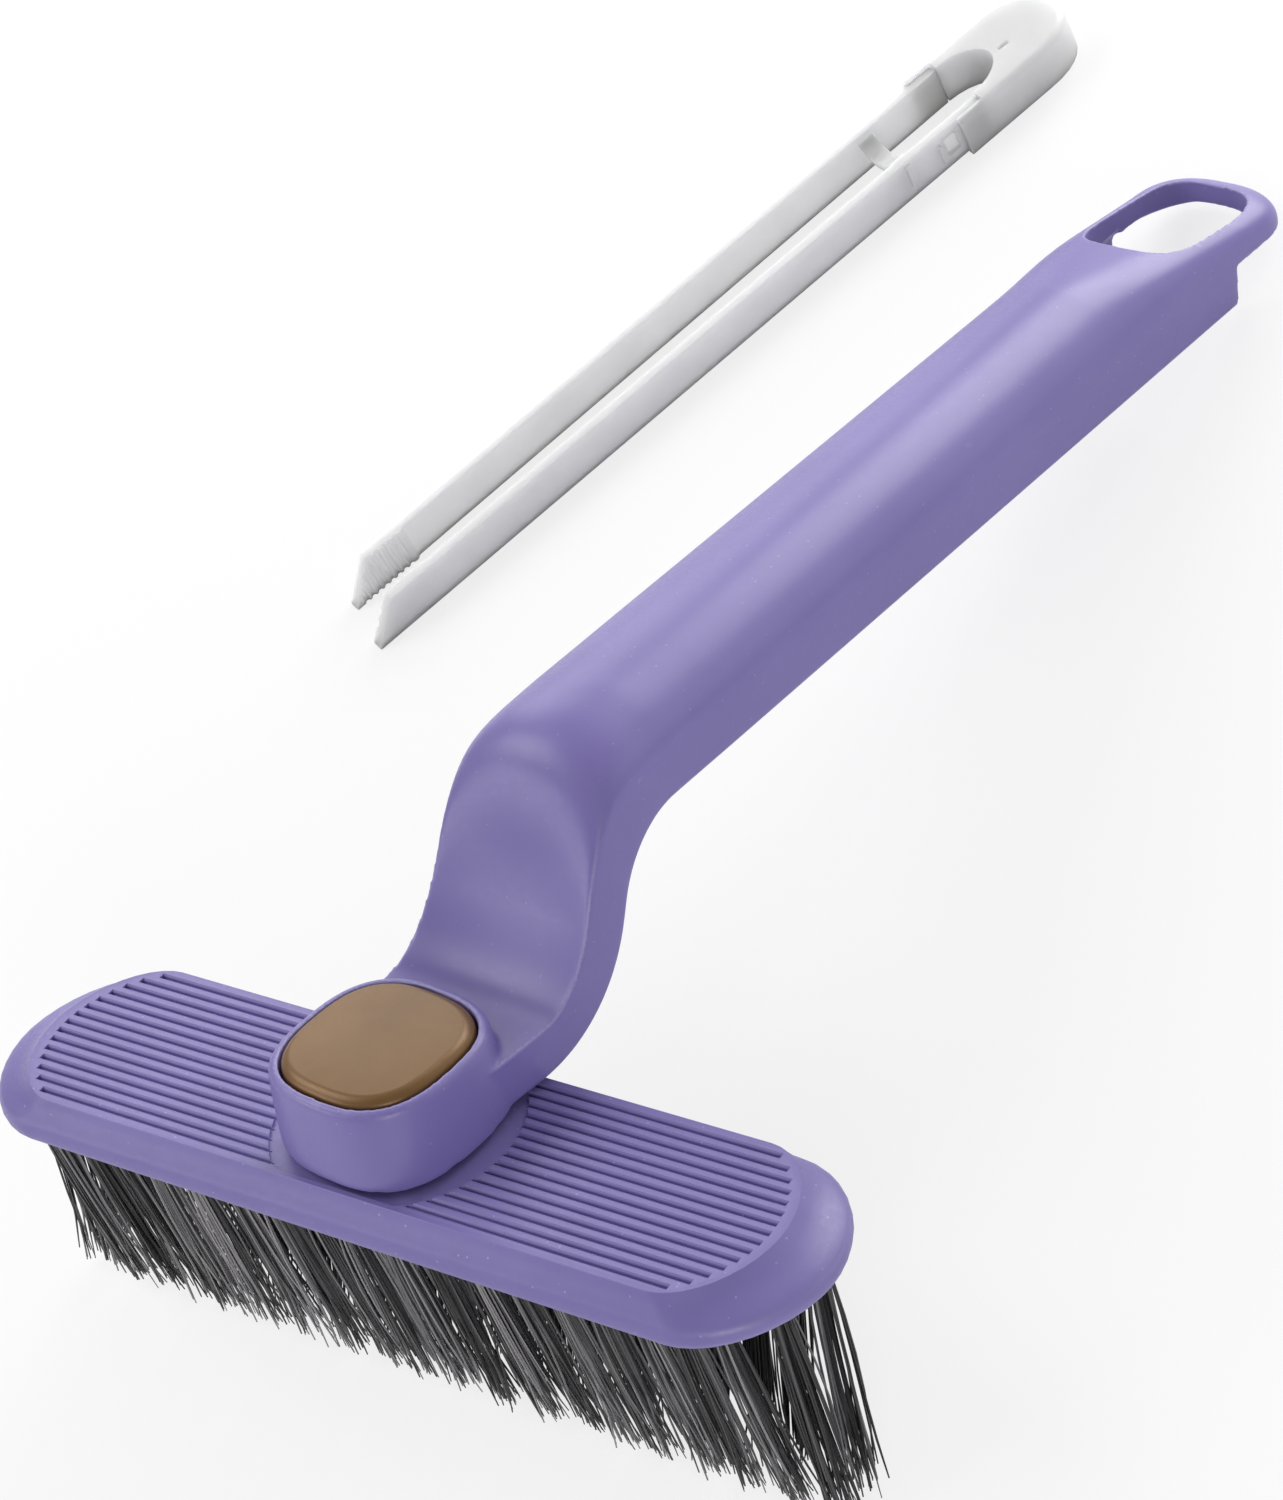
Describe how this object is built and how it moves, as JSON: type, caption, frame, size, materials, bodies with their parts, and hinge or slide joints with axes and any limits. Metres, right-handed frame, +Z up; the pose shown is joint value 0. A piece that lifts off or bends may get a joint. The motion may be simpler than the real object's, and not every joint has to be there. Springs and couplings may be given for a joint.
{
  "type": "cleaning brush",
  "caption": "Gap-cleaning brush: ribbed head with inward-leaning bristle tufts, swivelling under a cranked half-round handle with a hanging loop; loose plastic tweezers that store in the grip",
  "frame": {"origin": "centre of the bounding box's foot, on the table that the brush and the tweezers lie on", "axes": "+Z up from the table, +X along the brush head, +Y from the head towards the handle's end"},
  "size_m": [0.176, 0.285, 0.0697],
  "materials": {
    "lavender_plastic": "moulded polypropylene, satin",
    "lavender_plastic_head": "moulded polypropylene, satin",
    "bronze_lacquer": "bronze metallic lacquer on plastic",
    "zinc_steel": "zinc plated",
    "black_nylon": "black nylon filament",
    "cloudy_white_plastic": "translucent milky plastic"
  },
  "bodies": {
    "head": {"head_block": "lavender_plastic_head", "pivot_washer": "zinc_steel", "pivot_screw": "zinc_steel", "tuft_end_01": "black_nylon", "tuft_end_02": "black_nylon", "tuft_end_03": "black_nylon", "tuft_end_04": "black_nylon", "tuft_front_01": "black_nylon", "tuft_front_02": "black_nylon", "tuft_front_03": "black_nylon", "tuft_front_04": "black_nylon", "tuft_front_05": "black_nylon", "tuft_front_06": "black_nylon", "tuft_front_07": "black_nylon", "tuft_front_08": "black_nylon", "tuft_front_09": "black_nylon", "tuft_front_10": "black_nylon", "tuft_front_11": "black_nylon", "tuft_front_12": "black_nylon", "tuft_front_13": "black_nylon", "tuft_front_14": "black_nylon", "tuft_front_15": "black_nylon", "tuft_front_16": "black_nylon", "tuft_front_17": "black_nylon", "tuft_front_18": "black_nylon", "tuft_rear_01": "black_nylon", "tuft_rear_02": "black_nylon", "tuft_rear_03": "black_nylon", "tuft_rear_04": "black_nylon", "tuft_rear_05": "black_nylon", "tuft_rear_06": "black_nylon", "tuft_rear_07": "black_nylon", "tuft_rear_08": "black_nylon", "tuft_rear_09": "black_nylon", "tuft_rear_10": "black_nylon", "tuft_rear_11": "black_nylon", "tuft_rear_12": "black_nylon", "tuft_rear_13": "black_nylon", "tuft_rear_14": "black_nylon", "tuft_rear_15": "black_nylon", "tuft_rear_16": "black_nylon", "tuft_rear_17": "black_nylon"},
    "handle": {"handle": "lavender_plastic", "hub_cap": "bronze_lacquer"},
    "tweezers": {"tweezers_cap": "cloudy_white_plastic", "tweezers_bridge": "cloudy_white_plastic"},
    "arm_left": {"tweezer_arm_left": "cloudy_white_plastic"},
    "arm_right": {"tweezer_arm_right": "cloudy_white_plastic"}
  },
  "joints": [
    {"name": "head_swivel", "type": "hinge", "parent": "head", "child": "handle", "pos_m": [0.01305, -0.12031, 0.04689], "axis": [0, 0.3483, 0.9374], "range_deg": [-84, 10]},
    {"name": "tweezers_lift", "type": "slide", "parent": "head", "child": "tweezers", "axis": [0, 0, 1], "range_m": [0, 0.1]},
    {"name": "left_arm_squeeze", "type": "hinge", "parent": "tweezers", "child": "arm_left", "pos_m": [-0.02912, 0.12103, 0.00418], "axis": [0, 0, 1], "range_deg": [0, 1.7], "stiffness_Nm_per_rad": 6.5},
    {"name": "right_arm_squeeze", "type": "hinge", "parent": "tweezers", "child": "arm_right", "pos_m": [-0.01716, 0.11567, 0.00418], "axis": [0, 0, 1], "range_deg": [-1.7, 0], "stiffness_Nm_per_rad": 6.5}
  ],
  "couplings": [
    {"joint": "right_arm_squeeze", "follows": "left_arm_squeeze", "ratio": -1}
  ]
}
